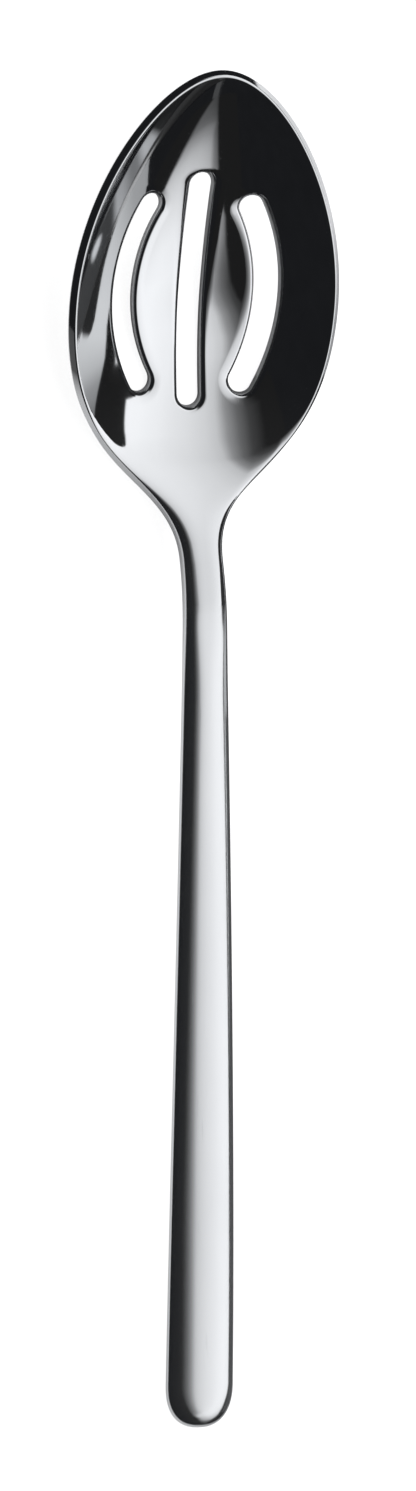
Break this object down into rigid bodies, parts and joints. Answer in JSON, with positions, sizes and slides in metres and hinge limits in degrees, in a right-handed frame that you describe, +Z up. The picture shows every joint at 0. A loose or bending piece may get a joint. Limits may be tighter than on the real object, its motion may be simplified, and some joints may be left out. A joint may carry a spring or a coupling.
{
  "type": "olive spoon",
  "caption": "Long-handled serving spoon with a pointed oval bowl, drain slots through its floor, a bent neck and a slim rounded bar handle.",
  "frame": {"origin": "on the table, under the middle of the spoon's box", "axes": "+Y along the spoon from the handle's end to the bowl's tip, +X across the bowl, +Z up out of the bowl"},
  "size_m": [0.042, 0.2004, 0.0198],
  "materials": {
    "polished_bowl": "mirror-polished stainless steel",
    "polished_handle": "mirror-polished stainless steel",
    "polished_weld": "weld ground flush and polished with the neck"
  },
  "bodies": {
    "root": {"bowl": "polished_bowl", "handle": "polished_handle", "neck_weld": "polished_weld"}
  },
  "joints": []
}
